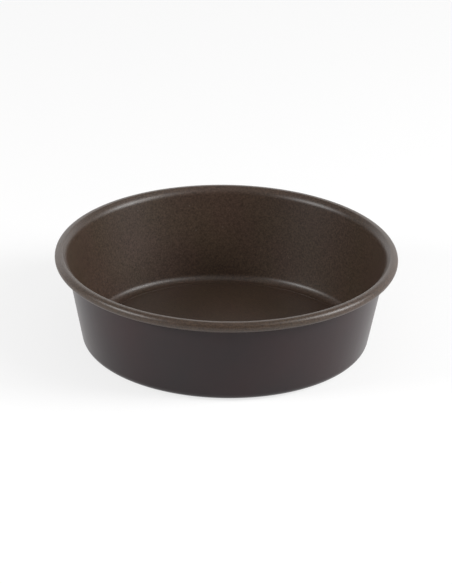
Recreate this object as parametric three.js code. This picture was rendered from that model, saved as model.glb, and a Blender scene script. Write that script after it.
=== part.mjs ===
// A deep round cake tin with a loose base, in millimetres. +Z is up and the tin stands on z = 0.
//
// The tin body is one sheet of steel. In section it runs outward along the seat of the base, steps up by the
// thickness of the base, turns up through the corner into the tapered wall, opens like a bell near the top
// into a narrow flare, turns over the lip and curls round a wire. The base is a disc that drops into the
// seat from above, where its top is level with the foot of the corner. It is pushed up from below to free
// the cake.
import * as THREE from "three";

const { degToRad } = THREE.MathUtils;

// Driving dimensions
const mouthDiameter = 200; // inside, where the line of the wall meets the level of the rim's top
const wallHeight = 60; // from the underside of the corner to the rim's top
const wallTaper = degToRad(11.4); // from upright
const tinSheet = 0.8;
const cornerRadius = 5; // between wall and floor, on the inside face
const bellRadius = 6; // where the wall opens outward below the rim, on the inside face
const bellTurn = degToRad(36);
const flareLength = 1.4; // straight stretch between the bell and the lip
const lipRadius = 1.6; // where the flare turns over into the rim, on the inside face
const rimFlat = 0.7; // level stretch between the lip and the curl
const wireDiameter = 4.4;
const wireClearance = 0.3; // all round the wire
const curlWrap = degToRad(250);
const footFlat = 1.2; // level stretch between the corner and the seat
const seatWidth = 8; // level stretch under the edge of the base
const baseSheet = 0.5;
const baseClearance = 0.3; // round the edge of the base
const baseEdgeRadius = 0.15; // sheared edge, rounded top and bottom

// Facets
const turnSteps = 72; // round the axis of the tin
const bendStep = degToRad(14); // at most, along a bend of the sheet
const wireSides = 14;
const edgeSteps = 2; // along the round of the base's edge

const coatedSteel = new THREE.MeshStandardMaterial({ color: 0x43382f, roughness: 0.45, metalness: 0.2 });
const baseSteel = new THREE.MeshStandardMaterial({ color: 0x3f352d, roughness: 0.5, metalness: 0.2 });
const wireSteel = new THREE.MeshStandardMaterial({ color: 0x9a9c9e, roughness: 0.35, metalness: 1 });

// Section of the tin body, as radius and height of the middle of the sheet
const halfSheet = tinSheet / 2;
const cornerBend = cornerRadius + halfSheet;
const bellBend = bellRadius - halfSheet;
const lipBend = lipRadius - halfSheet;
const curlBend = wireDiameter / 2 + wireClearance + halfSheet;
const lipTaper = wallTaper + bellTurn;
const wallTurn = Math.PI / 2 - wallTaper;
const lipTurn = Math.PI / 2 - lipTaper;

// The seat is half-sheared: the edge of the sheet is pressed down by the thickness of the base, which is less
// than the sheet's own, so a sharp step forms and the two stay joined.
const seatDepth = baseSheet;

const rimTop = seatDepth + wallHeight;
const wallFoot = seatDepth + halfSheet + cornerBend * (1 - Math.sin(wallTaper));
const bellRise = bellBend * (Math.sin(lipTaper) - Math.sin(wallTaper));
const flareRise = flareLength * Math.cos(lipTaper);
const lipRise = lipBend * (1 - Math.sin(lipTaper));
const wallRise = rimTop - halfSheet - lipRise - flareRise - bellRise - wallFoot;
const wallLength = wallRise / Math.cos(wallTaper);
const wallLineAtTop = mouthDiameter / 2 + halfSheet / Math.cos(wallTaper);
const wallFootRadius = wallLineAtTop - (rimTop - wallFoot) * Math.tan(wallTaper);
const seatOuterRadius = wallFootRadius - cornerBend * Math.cos(wallTaper) - footFlat;
const seatInnerRadius = seatOuterRadius - seatWidth;

const bellReach = bellBend * (Math.cos(wallTaper) - Math.cos(lipTaper));
const flareReach = flareLength * Math.sin(lipTaper);
const lipReach = lipBend * Math.cos(lipTaper);
const lipStart = wallFootRadius + wallRise * Math.tan(wallTaper) + bellReach + flareReach;
const curlCentre = {
  radius: lipStart + lipReach + rimFlat,
  height: rimTop - halfSheet - curlBend,
};

// Follows the middle of a bent sheet from a start, heading outward, and returns the points of its two faces.
// A run goes straight on for its length, or bends through its turn, positive to the left, at its radius.
function bendSheet(start, runs, thickness) {
  const at = start.clone();
  let heading = 0;
  const leftOf = (angle) => new THREE.Vector2(-Math.sin(angle), Math.cos(angle));
  const leftFace = [];
  const rightFace = [];
  const mark = () => {
    leftFace.push(at.clone().addScaledVector(leftOf(heading), thickness / 2));
    rightFace.push(at.clone().addScaledVector(leftOf(heading), -thickness / 2));
  };
  mark();
  for (const { length = 0, turn = 0, radius = 0 } of runs) {
    if (length > 0) {
      at.add(new THREE.Vector2(Math.cos(heading), Math.sin(heading)).multiplyScalar(length));
      mark();
    }
    const steps = Math.ceil(Math.abs(turn) / bendStep);
    const reach = Math.sign(turn) * radius;
    const centre = at.clone().addScaledVector(leftOf(heading), reach);
    for (let step = 0; step < steps; step += 1) {
      heading += turn / steps;
      at.copy(centre).addScaledVector(leftOf(heading), -reach);
      mark();
    }
  }
  return { leftFace, rightFace };
}

// Turns an outline of radius and height once round the Z axis.
function revolve(outline) {
  return new THREE.LatheGeometry(outline, turnSteps).rotateX(Math.PI / 2);
}

function makeTinBody() {
  const { leftFace, rightFace } = bendSheet(
    new THREE.Vector2(seatOuterRadius, seatDepth + halfSheet),
    [
      { length: footFlat },
      { turn: wallTurn, radius: cornerBend },
      { length: wallLength },
      { turn: -bellTurn, radius: bellBend },
      { length: flareLength },
      { turn: -lipTurn, radius: lipBend },
      { length: rimFlat },
      { turn: -curlWrap, radius: curlBend },
    ],
    tinSheet,
  );
  const seatAt = (height) => [
    new THREE.Vector2(seatInnerRadius, height),
    new THREE.Vector2(seatOuterRadius, height),
  ];
  const seatUnder = seatAt(0);
  const seatOver = seatAt(tinSheet);
  // Out along the underside and the outside, round the curl, and back along the inside
  const section = [...seatUnder, ...rightFace, ...leftFace.reverse(), ...seatOver.reverse(), seatUnder[0]];
  const mesh = new THREE.Mesh(revolve(section), coatedSteel);
  mesh.name = "tin_body";
  return mesh;
}

function makeRimWire() {
  const ring = new THREE.TorusGeometry(curlCentre.radius, wireDiameter / 2, wireSides, turnSteps);
  const mesh = new THREE.Mesh(ring, wireSteel);
  mesh.name = "rim_wire";
  mesh.position.z = curlCentre.height;
  return mesh;
}

// A disc whose edge is rounded above and below, made lying on z = 0 and set on the seat.
function makeLooseBase() {
  const edge = seatOuterRadius - baseClearance;
  const round = Math.min(baseEdgeRadius, baseSheet / 2);
  const quarter = Array.from({ length: edgeSteps + 1 }, (_, step) => (step / edgeSteps) * (Math.PI / 2));
  const onRound = (angle, height) =>
    new THREE.Vector2(edge - round + round * Math.cos(angle), height + round * Math.sin(angle));
  const section = [
    new THREE.Vector2(0, 0),
    ...quarter.map((angle) => onRound(angle - Math.PI / 2, round)),
    ...quarter.map((angle) => onRound(angle, baseSheet - round)),
    new THREE.Vector2(0, baseSheet),
  ];
  const mesh = new THREE.Mesh(revolve(section), baseSteel);
  mesh.name = "loose_base";
  mesh.position.z = tinSheet;
  return mesh;
}

const cakeTin = new THREE.Group();
cakeTin.name = "cake_tin";
cakeTin.add(makeTinBody(), makeRimWire(), makeLooseBase());

export default cakeTin;
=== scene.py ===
from math import cos, pi, radians, sin, tan

import bpy
import numpy as np
from mathutils import Matrix, Vector


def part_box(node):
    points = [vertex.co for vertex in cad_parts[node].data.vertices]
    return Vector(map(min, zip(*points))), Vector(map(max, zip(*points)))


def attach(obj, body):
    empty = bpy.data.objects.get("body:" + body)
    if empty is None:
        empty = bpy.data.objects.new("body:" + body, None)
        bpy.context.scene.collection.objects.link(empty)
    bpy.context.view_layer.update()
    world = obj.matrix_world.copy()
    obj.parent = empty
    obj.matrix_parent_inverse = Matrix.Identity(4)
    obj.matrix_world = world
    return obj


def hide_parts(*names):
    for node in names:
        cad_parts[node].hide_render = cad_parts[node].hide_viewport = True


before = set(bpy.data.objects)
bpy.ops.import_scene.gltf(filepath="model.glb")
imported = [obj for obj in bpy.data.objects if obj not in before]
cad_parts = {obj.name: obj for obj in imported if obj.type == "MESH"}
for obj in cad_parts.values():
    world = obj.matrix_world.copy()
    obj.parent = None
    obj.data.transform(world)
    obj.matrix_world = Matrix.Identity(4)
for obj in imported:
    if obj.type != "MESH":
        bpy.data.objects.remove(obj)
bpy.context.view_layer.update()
scene = bpy.context.scene
mm = 0.001
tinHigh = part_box("tin_body")[1]
baseLow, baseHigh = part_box("loose_base")
wireLow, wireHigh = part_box("rim_wire")
print("frame loaded:", sorted(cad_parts))


# Surfaces

def revolve(name, section, around, closed):
    # a point (r, z) of the section at angle a goes to (r cos a, r sin a, z); an open section starts and ends
    # on the axis, where its ring shrinks to one point
    ring = np.arange(around)
    angle = 2 * pi * ring / around
    inner = section if closed else section[1:-1]
    rows = len(inner)
    grid = np.empty((around, rows, 3))
    grid[..., 0] = np.cos(angle)[:, None] * inner[None, :, 0]
    grid[..., 1] = np.sin(angle)[:, None] * inner[None, :, 0]
    grid[..., 2] = inner[None, :, 1]
    points = grid.reshape(-1, 3)
    here = ring[:, None] * rows
    there = ((ring + 1) % around)[:, None] * rows
    row = np.arange(rows if closed else rows - 1)[None, :]
    above = (row + 1) % rows
    quads = np.stack([here + row, there + row, there + above, here + above], axis=-1).reshape(-1, 4)
    faces = quads.tolist()
    if not closed:
        poles = np.array([[0, 0, section[0, 1]], [0, 0, section[-1, 1]]])
        first, last = len(points), len(points) + 1
        points = np.vstack([points, poles])
        faces += np.stack([np.full(around, first), there[:, 0], here[:, 0]], axis=-1).tolist()
        top = rows - 1
        faces += np.stack([np.full(around, last), here[:, 0] + top, there[:, 0] + top], axis=-1).tolist()
    mesh = bpy.data.meshes.new(name)
    mesh.from_pydata(points.tolist(), [], faces)
    mesh.polygons.foreach_set("use_smooth", np.ones(len(mesh.polygons), bool))
    mesh.validate()
    mesh.update()
    piece = bpy.data.objects.new(name, mesh)
    scene.collection.objects.link(piece)
    return piece


def bentSheet(start, runs):
    # middle line of a bent sheet: each run is straight for its length, or an arc through its turn (left is
    # positive) at its radius; returns the points, their left-hand normals and their headings
    at, heading = np.array(start, float), 0.0
    points, headings = [at[None, :]], [np.zeros(1)]
    for length, turn, radius, steps in runs:
        share = np.arange(1, steps + 1) / steps
        if turn == 0:
            ahead = np.array([cos(heading), sin(heading)])
            part, angles = at + share[:, None] * length * ahead, np.full(steps, heading)
        else:
            reach = np.sign(turn) * radius
            centre = at + reach * np.array([-sin(heading), cos(heading)])
            angles = heading + share * turn
            part = centre - reach * np.stack([-np.sin(angles), np.cos(angles)], axis=-1)
        points.append(part)
        headings.append(angles)
        at, heading = part[-1], angles[-1]
    angles = np.concatenate(headings)
    return np.concatenate(points), np.stack([-np.sin(angles), np.cos(angles)], axis=-1), angles


def roundEnd(centre, heading, half, steps):
    # half circle round a cut end, from the right-hand face over to the left
    swing = heading - pi / 2 + pi * np.arange(1, steps) / steps
    return centre + half * np.stack([np.cos(swing), np.sin(swing)], axis=-1)


def roundCorner(corner, back, onward, radius, steps=6):
    # quarter circle in place of a square corner, between the ways back and onward along its two edges
    swing = np.linspace(0, pi / 2, steps)[:, None]
    back, onward = np.array(back), np.array(onward)
    return corner + radius * (back * (1 - np.sin(swing)) + onward * (1 - np.cos(swing)))


# Materials

def hexColour(code):
    # sRGB hex to linear
    srgb = np.array([int(code[i:i + 2], 16) for i in (1, 3, 5)]) / 255
    linear = np.where(srgb <= 0.04045, srgb / 12.92, ((srgb + 0.055) / 1.055) ** 2.4)
    return (*linear.tolist(), 1.0)


def addNode(tree, kind, inputs=None, **settings):
    # one node with its settings; an input is a value, or another node's socket to link from
    node = tree.nodes.new(kind)
    for name, value in settings.items():
        setattr(node, name, value)
    for name, value in (inputs or {}).items():
        if isinstance(value, bpy.types.NodeSocket):
            tree.links.new(value, node.inputs[name])
        else:
            node.inputs[name].default_value = value
    return node


def newMaterial(name):
    material = bpy.data.materials.new(name)
    material.use_nodes = True
    tree = material.node_tree
    tree.nodes.clear()
    output = addNode(tree, "ShaderNodeOutputMaterial")
    place = addNode(tree, "ShaderNodeTexCoord").outputs["Object"]
    return material, tree, output, place


def coatedInside():
    # sprayed and baked non-stick coat: warm dark brown, finely pebbled, with a few pale specks and a soft
    # sheen
    look = {
        "olive": "#3f3227",
        "plum": "#403128",
        "speck": "#6a5f57",
        "cloud": 30,  # mm
        "cloudSpan": (0.35, 0.65),
        "grain": 1.1,  # mm; the real grain is near 0.3 and would not show
        "grainSpan": (0.3, 0.7),
        "grainTone": (0.5, 1.5),
        "grainHeight": 0.04,  # mm
        "speckGap": 9,  # mm
        "speckSize": 0.5,  # mm
        "roughness": (0.37, 0.43),
        "ior": 1.47,
    }
    material, tree, output, place = newMaterial("nonstick_coat")
    cloudLow, cloudHigh = look["cloudSpan"]
    grainLow, grainHigh = look["grainSpan"]
    grain = addNode(tree, "ShaderNodeTexNoise", {
        "Vector": place, "Scale": 1 / (look["grain"] * mm), "Detail": 3.0, "Roughness": 0.6})
    cloud = addNode(tree, "ShaderNodeTexNoise", {
        "Vector": place, "Scale": 1 / (look["cloud"] * mm), "Detail": 2.0, "Roughness": 0.5})
    share = addNode(tree, "ShaderNodeMapRange", {
        "Value": cloud.outputs["Fac"], "From Min": cloudLow, "From Max": cloudHigh})
    tint = addNode(tree, "ShaderNodeMix", {
        "Factor": share.outputs[0], 6: hexColour(look["olive"]), 7: hexColour(look["plum"]),
    }, data_type="RGBA")
    tone = addNode(tree, "ShaderNodeMapRange", {
        "Value": grain.outputs["Fac"], "From Min": grainLow, "From Max": grainHigh,
        "To Min": look["grainTone"][0], "To Max": look["grainTone"][1]})
    coat = addNode(tree, "ShaderNodeVectorMath", {
        0: tint.outputs[2], "Scale": tone.outputs[0]}, operation="SCALE")
    cell = addNode(tree, "ShaderNodeTexVoronoi", {"Vector": place, "Scale": 1 / (look["speckGap"] * mm)})
    speck = addNode(tree, "ShaderNodeMapRange", {
        "Value": cell.outputs["Distance"],
        "From Min": look["speckSize"] / look["speckGap"], "From Max": 0.0})
    colour = addNode(tree, "ShaderNodeMix", {
        "Factor": speck.outputs[0], 6: coat.outputs[0], 7: hexColour(look["speck"])}, data_type="RGBA")
    rough = addNode(tree, "ShaderNodeMapRange", {
        "Value": grain.outputs["Fac"], "From Min": grainLow, "From Max": grainHigh,
        "To Min": look["roughness"][0], "To Max": look["roughness"][1]})
    bump = addNode(tree, "ShaderNodeBump", {
        "Height": grain.outputs["Fac"], "Strength": 1.0, "Distance": look["grainHeight"] * mm})
    shader = addNode(tree, "ShaderNodeBsdfPrincipled", {
        "Base Color": colour.outputs[2], "Roughness": rough.outputs[0],
        "IOR": look["ior"], "Normal": bump.outputs[0]})
    tree.links.new(shader.outputs[0], output.inputs["Surface"])
    return material


def coatedOutside():
    # satin lacquer baked on the outside: dark grey-brown, even and smooth, faintly redder in places
    look = {
        "grey": "#2c2a2b",
        "red": "#38292a",
        "cloud": 46,  # mm
        "peel": 2.2,  # mm between the swells of the sprayed film
        "peelHeight": 0.012,  # mm
        "roughness": (0.276, 0.324),
        "ior": 1.3,
    }
    material, tree, output, place = newMaterial("satin_lacquer")
    cloud = addNode(tree, "ShaderNodeTexNoise", {
        "Vector": place, "Scale": 1 / (look["cloud"] * mm), "Detail": 3.0, "Roughness": 0.5})
    peel = addNode(tree, "ShaderNodeTexNoise", {
        "Vector": place, "Scale": 1 / (look["peel"] * mm), "Detail": 1.0, "Roughness": 0.4})
    colour = addNode(tree, "ShaderNodeMix", {
        "Factor": cloud.outputs["Fac"], 6: hexColour(look["grey"]), 7: hexColour(look["red"]),
    }, data_type="RGBA")
    rough = addNode(tree, "ShaderNodeMapRange", {
        "Value": cloud.outputs["Fac"], "To Min": look["roughness"][0], "To Max": look["roughness"][1]})
    bump = addNode(tree, "ShaderNodeBump", {
        "Height": peel.outputs["Fac"], "Strength": 1.0, "Distance": look["peelHeight"] * mm})
    shader = addNode(tree, "ShaderNodeBsdfPrincipled", {
        "Base Color": colour.outputs[2], "Roughness": rough.outputs[0],
        "IOR": look["ior"], "Normal": bump.outputs[0]})
    tree.links.new(shader.outputs[0], output.inputs["Surface"])
    return material


def drawnWire():
    # bright drawn steel wire, finely mottled
    look = {"dull": "#85878a", "bright": "#a9abad", "mottle": 0.5, "roughness": (0.28, 0.42)}  # mottle in mm
    material, tree, output, place = newMaterial("drawn_steel_wire")
    mottle = addNode(tree, "ShaderNodeTexNoise", {
        "Vector": place, "Scale": 1 / (look["mottle"] * mm), "Detail": 2.0})
    colour = addNode(tree, "ShaderNodeMix", {
        "Factor": mottle.outputs["Fac"], 6: hexColour(look["dull"]), 7: hexColour(look["bright"]),
    }, data_type="RGBA")
    rough = addNode(tree, "ShaderNodeMapRange", {
        "Value": mottle.outputs["Fac"], "To Min": look["roughness"][0], "To Max": look["roughness"][1]})
    shader = addNode(tree, "ShaderNodeBsdfPrincipled", {
        "Base Color": colour.outputs[2], "Roughness": rough.outputs[0], "Metallic": 1.0})
    tree.links.new(shader.outputs[0], output.inputs["Surface"])
    return material


insideCoat = coatedInside()
outsideCoat = coatedOutside()
wireSteel = drawnWire()
print("materials made:", [m.name for m in (insideCoat, outsideCoat, wireSteel)])


# Tin body: one sheet from the seat, up the step, the corner and the wall, and round the rim

tin = {
    "sheet": 0.8 * mm,
    "taper": radians(11.4),
    "corner": 5.0 * mm,  # inside face
    "bell": 6.0 * mm,  # inside face
    "bellTurn": radians(36),
    "flare": 1.4 * mm,
    "lip": 1.6 * mm,  # inside face
    "rimFlat": 0.7 * mm,
    "curl": 3.3 * mm,  # outer face of the roll
    "curlWrap": radians(250),
    "footFlat": 1.2 * mm,
    "seatWidth": 8.0 * mm,
    "stepRound": 0.12 * mm,  # the coat softens the sheared step
    "around": 240,
    "seatRings": 6,
    "endSteps": 6,  # round a cut end of the sheet
    "steps": {"foot": 4, "corner": 24, "wall": 26, "bell": 14, "flare": 4, "lip": 14, "rim": 2, "curl": 50},
}


def tinSection():
    # outline of the sheet, out along its back and home along its food face; also returns how many of its
    # points lie on the back
    half, sheet, soft, steps = tin["sheet"] / 2, tin["sheet"], tin["stepRound"], tin["steps"]
    depth = baseHigh.z - baseLow.z  # the seat lies lower than the floor round it by the base's thickness
    taper, bellTurn, flare = tin["taper"], tin["bellTurn"], tin["flare"]
    lipTaper = taper + bellTurn
    cornerBend, curlBend = tin["corner"] + half, tin["curl"] - half
    bellBend, lipBend = tin["bell"] - half, tin["lip"] - half
    bends = cornerBend * (1 - sin(taper)) + bellBend * (sin(lipTaper) - sin(taper))
    bends += flare * cos(lipTaper) + lipBend * (1 - sin(lipTaper))
    wallRise = tinHigh.z - sheet - depth - bends
    reach = tin["footFlat"] + cornerBend * cos(taper) + wallRise * tan(taper)
    reach += bellBend * (cos(taper) - cos(lipTaper)) + flare * sin(lipTaper) + lipBend * cos(lipTaper)
    step = tinHigh.x - reach - tin["rimFlat"] - tin["curl"]
    seatEdge = step - tin["seatWidth"]
    middle, left, headings = bentSheet((step, depth + half), [
        (tin["footFlat"], 0, 0, steps["foot"]),
        (0, pi / 2 - taper, cornerBend, steps["corner"]),
        (wallRise / cos(taper), 0, 0, steps["wall"]),
        (0, -bellTurn, bellBend, steps["bell"]),
        (flare, 0, 0, steps["flare"]),
        (0, lipTaper - pi / 2, lipBend, steps["lip"]),
        (tin["rimFlat"], 0, 0, steps["rim"]),
        (0, -tin["curlWrap"], curlBend, steps["curl"]),
    ])
    foodFace, backFace = (middle + half * left)[1:], (middle - half * left)[1:]
    out = np.linspace(seatEdge, step - 2 * soft, tin["seatRings"])
    seatUnder = np.stack([out, np.zeros_like(out)], axis=-1)
    seatOver = seatUnder[::-1] + (0, sheet)
    stepUnder = np.concatenate([
        roundCorner((step, 0), (-1, 0), (0, 1), soft),
        roundCorner((step, depth), (0, -1), (1, 0), soft),
    ])
    stepOver = np.concatenate([
        roundCorner((step, depth + sheet), (1, 0), (0, -1), soft),
        roundCorner((step, sheet), (0, 1), (-1, 0), soft),
    ])
    curlEnd = roundEnd(middle[-1], headings[-1], half, tin["endSteps"])
    seatEnd = roundEnd(np.array([seatEdge, half]), pi, half, tin["endSteps"])
    back = np.concatenate([seatUnder, stepUnder, backFace])
    return np.concatenate([back, curlEnd, foodFace[::-1], stepOver, seatOver, seatEnd]), len(back)


def makeTin():
    section, backCount = tinSection()
    piece = revolve("tin_shell", section, tin["around"], True)
    piece.data.materials.append(insideCoat)
    piece.data.materials.append(outsideCoat)
    backRows = np.zeros(len(section), np.int32)
    backRows[:backCount - 1] = 1
    piece.data.polygons.foreach_set("material_index", np.tile(backRows, tin["around"]))
    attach(piece, "tin")
    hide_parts("tin_body")
    return piece


tinShell = makeTin()
print("tin shell:", len(tinShell.data.polygons), "faces")


# Loose base: a flat disc with a sheared edge that the coat has rounded

base = {"edgeRound": 0.15 * mm, "around": 240, "rings": 14}


def makeBase():
    edge, low, high, soft = baseHigh.x, baseLow.z, baseHigh.z, base["edgeRound"]
    # rings evenly out to near the edge, and one more close to its round, so that the flats shade flat
    out = np.append((edge - 4 * soft) * np.arange(base["rings"]) / (base["rings"] - 1), edge - 2 * soft)
    under = np.stack([out, np.full_like(out, low)], axis=-1)
    over = under[::-1] + (0, high - low)
    section = np.concatenate([
        under,
        roundCorner((edge, low), (-1, 0), (0, 1), soft),
        roundCorner((edge, high), (0, -1), (-1, 0), soft),
        over,
    ])
    piece = revolve("base_disc", section, base["around"], False)
    piece.data.materials.append(insideCoat)
    piece.data.materials.append(outsideCoat)
    centres = np.empty(len(piece.data.polygons) * 3)
    piece.data.polygons.foreach_get("center", centres)
    underside = centres[2::3] < low + soft / 2
    piece.data.polygons.foreach_set("material_index", underside.astype(np.int32))
    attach(piece, "base")
    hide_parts("loose_base")
    return piece


baseDisc = makeBase()
print("base disc:", len(baseDisc.data.polygons), "faces")


# Rim wire: a round ring inside the roll

wire = {"around": 192, "sides": 24}


def makeWire():
    thick = (wireHigh.z - wireLow.z) / 2
    centre = np.array([wireHigh.x - thick, (wireLow.z + wireHigh.z) / 2])
    swing = 2 * pi * np.arange(wire["sides"]) / wire["sides"]
    section = centre + thick * np.stack([np.cos(swing), np.sin(swing)], axis=-1)
    piece = revolve("wire_ring", section, wire["around"], True)
    piece.data.materials.append(wireSteel)
    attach(piece, "tin")
    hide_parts("rim_wire")
    return piece


wireRing = makeWire()
print("wire ring:", len(wireRing.data.polygons), "faces")


# Camera

shot = {
    "aim": (0.09 * mm, 0.0, 32.9 * mm),
    "distance": 3.341,
    "elevation": radians(24.72),
    "roll": radians(0.941),
    "focalPixels": 5345,
    "longSide": 584,  # pixels across the sensor
    "sensor": 36,  # mm
    "farClip": 100,
}


def makeCamera():
    data = bpy.data.cameras.new("camera")
    data.sensor_width = shot["sensor"]
    data.lens = shot["focalPixels"] * data.sensor_width / shot["longSide"]
    back = Vector((0, -cos(shot["elevation"]), sin(shot["elevation"])))
    camera = bpy.data.objects.new("camera", data)
    scene.collection.objects.link(camera)
    turn = (-back).to_track_quat("-Z", "Y").to_matrix() @ Matrix.Rotation(shot["roll"], 3, "Z")
    camera.matrix_world = Matrix.Translation(Vector(shot["aim"]) + back * shot["distance"]) @ turn.to_4x4()
    data.clip_end = shot["farClip"]
    scene.camera = camera


makeCamera()
print("camera set")


# Studio: white floor and backdrop, a room lit from its ceiling, a low softbox on either side, a weak one
# higher on the right, and a long strip light behind

studio = {
    "floorSize": 40.0,
    "floorColour": "#f2f2f2",
    "floorShadow": 0.28,  # share of the floor's white that shading can take away
    "room": ((0.0, 0.15), (0.5, 0.02), (1.0, 0.61)),  # level at how far up a direction points
    "backHalf": ((-0.1, 0.35), 0.4),  # between these ways back the room dims to this share
    "backdropFrom": (0.3, 0.7),  # how far back a direction points where the backdrop sets in
    "backdropTop": (0.95, 0.8),  # how far up it fades
    "boxAway": 1.3,
    "boxes": {
        # azimuth from the camera's side, elevation, width, height, power
        "left": (radians(-69), radians(28), 0.52, 0.25, 10.9),
        "right": (radians(79.5), radians(27.5), 0.50, 0.60, 16.3),
        "high": (radians(58), radians(45), 0.40, 0.50, 2.6),
        "behind": (radians(180), radians(21.5), 4.5, 0.36, 5.6),
    },
}


def makeFloor():
    # the camera and reflections see the floor as white less its shadow; other rays see plain white paint
    size = studio["floorSize"] / 2
    mesh = bpy.data.meshes.new("floor")
    corners = [(-size, -size, 0), (size, -size, 0), (size, size, 0), (-size, size, 0)]
    mesh.from_pydata(corners, [], [(0, 1, 2, 3)])
    floor = bpy.data.objects.new("floor", mesh)
    scene.collection.objects.link(floor)
    material, tree, output, _ = newMaterial("white_paper")
    paint = addNode(tree, "ShaderNodeBsdfDiffuse", {"Color": hexColour(studio["floorColour"])})
    shade = studio["floorShadow"]
    dim = addNode(tree, "ShaderNodeBsdfDiffuse", {"Color": (shade, shade, shade, 1)})
    glow = addNode(tree, "ShaderNodeEmission", {"Strength": 1 - shade})
    white = addNode(tree, "ShaderNodeAddShader", {0: dim.outputs[0], 1: glow.outputs[0]})
    ray = addNode(tree, "ShaderNodeLightPath")
    seen = addNode(tree, "ShaderNodeMath", {
        0: ray.outputs["Is Camera Ray"], 1: ray.outputs["Is Glossy Ray"]}, operation="MAXIMUM")
    mix = addNode(tree, "ShaderNodeMixShader", {
        0: seen.outputs[0], 1: paint.outputs[0], 2: white.outputs[0]})
    tree.links.new(mix.outputs[0], output.inputs["Surface"])
    mesh.materials.append(material)


def makeRoom():
    # the camera sees white all round and reflections see the white backdrop behind the tin; the rest of the
    # room is lit from above, and its back half is dimmer than its front
    world = bpy.data.worlds.new("studio")
    world.use_nodes = True
    tree = world.node_tree
    tree.nodes.clear()
    toward = addNode(tree, "ShaderNodeTexCoord").outputs["Generated"]
    axes = addNode(tree, "ShaderNodeSeparateXYZ", {0: toward})
    room = addNode(tree, "ShaderNodeValToRGB", {"Fac": axes.outputs["Z"]})
    stops = room.color_ramp.elements
    stops.new(0.5)
    for stop, (up, level) in zip(stops, studio["room"]):
        stop.position, stop.color = up, (level, level, level, 1)
    (nearer, farther), dimmed = studio["backHalf"]
    front = addNode(tree, "ShaderNodeMapRange", {
        "Value": axes.outputs["Y"], "From Min": nearer, "From Max": farther, "To Min": 1.0, "To Max": dimmed})
    lit = addNode(tree, "ShaderNodeMath", {
        0: room.outputs["Color"], 1: front.outputs[0]}, operation="MULTIPLY")
    ray = addNode(tree, "ShaderNodeLightPath")
    behind, below = (addNode(tree, "ShaderNodeMapRange", {
        "Value": axes.outputs[axis], "From Min": studio[span][0], "From Max": studio[span][1],
    }) for axis, span in (("Y", "backdropFrom"), ("Z", "backdropTop")))
    backdrop = addNode(tree, "ShaderNodeMath", {
        0: behind.outputs[0], 1: below.outputs[0]}, operation="MULTIPLY")
    mirrored = addNode(tree, "ShaderNodeMath", {
        0: ray.outputs["Is Glossy Ray"], 1: backdrop.outputs[0]}, operation="MULTIPLY")
    direct = addNode(tree, "ShaderNodeMath", {
        0: ray.outputs["Is Camera Ray"], 1: ray.outputs["Is Transmission Ray"]}, operation="MAXIMUM")
    white = addNode(tree, "ShaderNodeMath", {
        0: direct.outputs[0], 1: mirrored.outputs[0]}, operation="MAXIMUM")
    strength = addNode(tree, "ShaderNodeMix", {"Factor": white.outputs[0], 2: lit.outputs[0], 3: 1.0})
    glow = addNode(tree, "ShaderNodeBackground", {"Color": (1, 1, 1, 1), "Strength": strength.outputs[0]})
    output = addNode(tree, "ShaderNodeOutputWorld")
    tree.links.new(glow.outputs[0], output.inputs["Surface"])
    scene.world = world


def makeBoxes():
    for side, (azimuth, elevation, width, height, power) in studio["boxes"].items():
        data = bpy.data.lights.new(f"softbox_{side}", "AREA")
        data.shape = "RECTANGLE"
        data.size, data.size_y = width, height
        data.energy = power
        lamp = bpy.data.objects.new(data.name, data)
        scene.collection.objects.link(lamp)
        lamp.visible_camera = False
        level = cos(elevation)
        toward = Vector((sin(azimuth) * level, -cos(azimuth) * level, sin(elevation)))
        lamp.location = toward * studio["boxAway"]
        lamp.rotation_mode = "QUATERNION"
        lamp.rotation_quaternion = (-toward).to_track_quat("-Z", "Y")


makeFloor()
makeRoom()
makeBoxes()
scene.view_settings.view_transform = "Standard"
print("studio lit")
